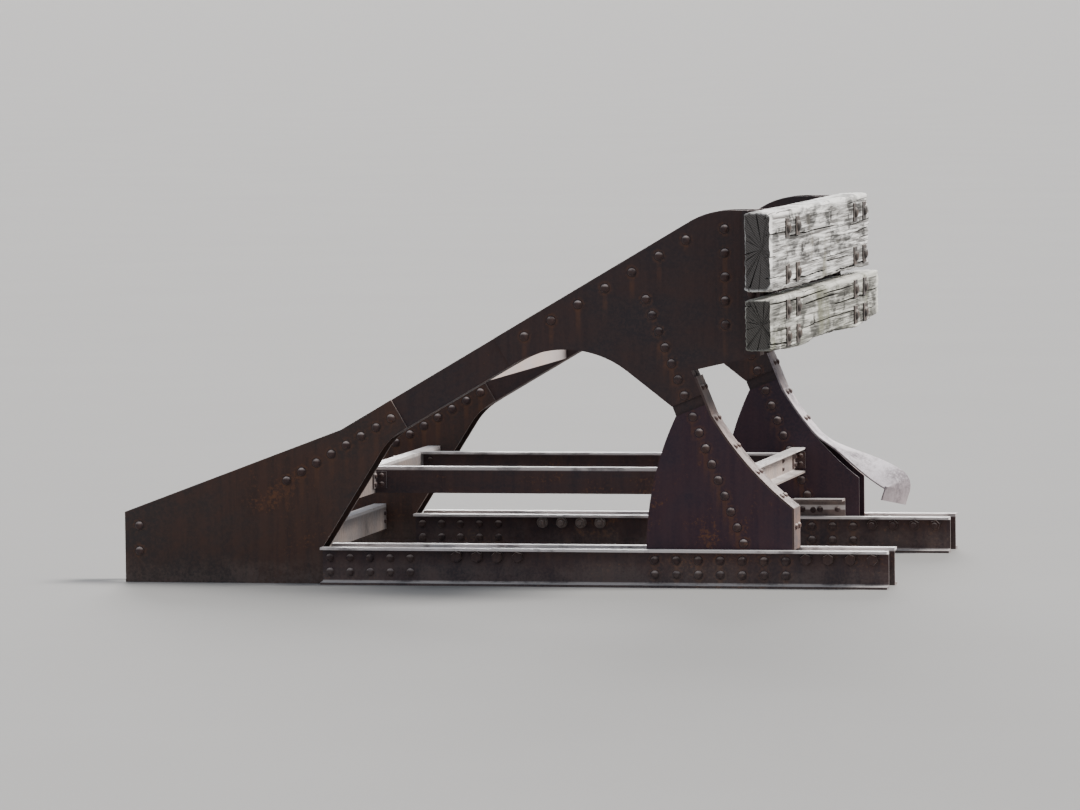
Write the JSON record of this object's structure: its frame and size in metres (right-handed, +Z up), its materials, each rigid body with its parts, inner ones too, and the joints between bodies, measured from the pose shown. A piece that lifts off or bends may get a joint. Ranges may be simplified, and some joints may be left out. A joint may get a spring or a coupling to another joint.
{
  "type": "railway buffer stop",
  "caption": "Fixed railway buffer stop: riveted steel side frames that straddle the rails, tied by crossbars, with a weathered beam of stacked timbers.",
  "frame": {"origin": "centre of the overall length and of the track, on the floor under the sills", "axes": "+X along the track from the tail towards the beam's face, +Z up, and +Y to the right as seen from a train that faces the beam"},
  "size_m": [2.925, 2.4, 1.404],
  "materials": {
    "plate_steel": "matt, old dark paint gone to brown rust",
    "section_steel": "matt, rusted all over",
    "strip_steel": "matt rust, rubbed bright in places",
    "weathered_wood": "silver-grey, cracked and bleached"
  },
  "bodies": {
    "root": {"left_sill_outer": "section_steel", "left_strut_outer": "section_steel", "left_leg_outer": "section_steel", "left_rear_gusset_outer": "plate_steel", "left_head_plate_outer": "plate_steel", "left_foot_plate_outer": "plate_steel", "left_head_angle_outer": "section_steel", "left_sill_inner": "section_steel", "left_strut_inner": "section_steel", "left_leg_inner": "section_steel", "left_rear_gusset_inner": "plate_steel", "left_head_plate_inner": "plate_steel", "left_foot_plate_inner": "plate_steel", "left_head_angle_inner": "section_steel", "left_leg_cover": "strip_steel", "left_sill_packings": "section_steel", "left_diaphragms": "plate_steel", "left_foot_seat": "section_steel", "left_tie": "section_steel", "left_cleats": "section_steel", "right_sill_outer": "section_steel", "right_strut_outer": "section_steel", "right_leg_outer": "section_steel", "right_rear_gusset_outer": "plate_steel", "right_head_plate_outer": "plate_steel", "right_foot_plate_outer": "plate_steel", "right_head_angle_outer": "section_steel", "right_sill_inner": "section_steel", "right_strut_inner": "section_steel", "right_leg_inner": "section_steel", "right_rear_gusset_inner": "plate_steel", "right_head_plate_inner": "plate_steel", "right_foot_plate_inner": "plate_steel", "right_head_angle_inner": "section_steel", "right_leg_cover": "strip_steel", "right_sill_packings": "section_steel", "right_diaphragms": "plate_steel", "right_foot_seat": "section_steel", "right_tie": "section_steel", "right_cleats": "section_steel", "rear_crossbar": "section_steel", "front_crossbar": "section_steel", "rear_sill_crossbar": "section_steel", "strut_crossbar": "section_steel", "upper_timber": "weathered_wood", "lower_timber": "weathered_wood"}
  },
  "joints": []
}
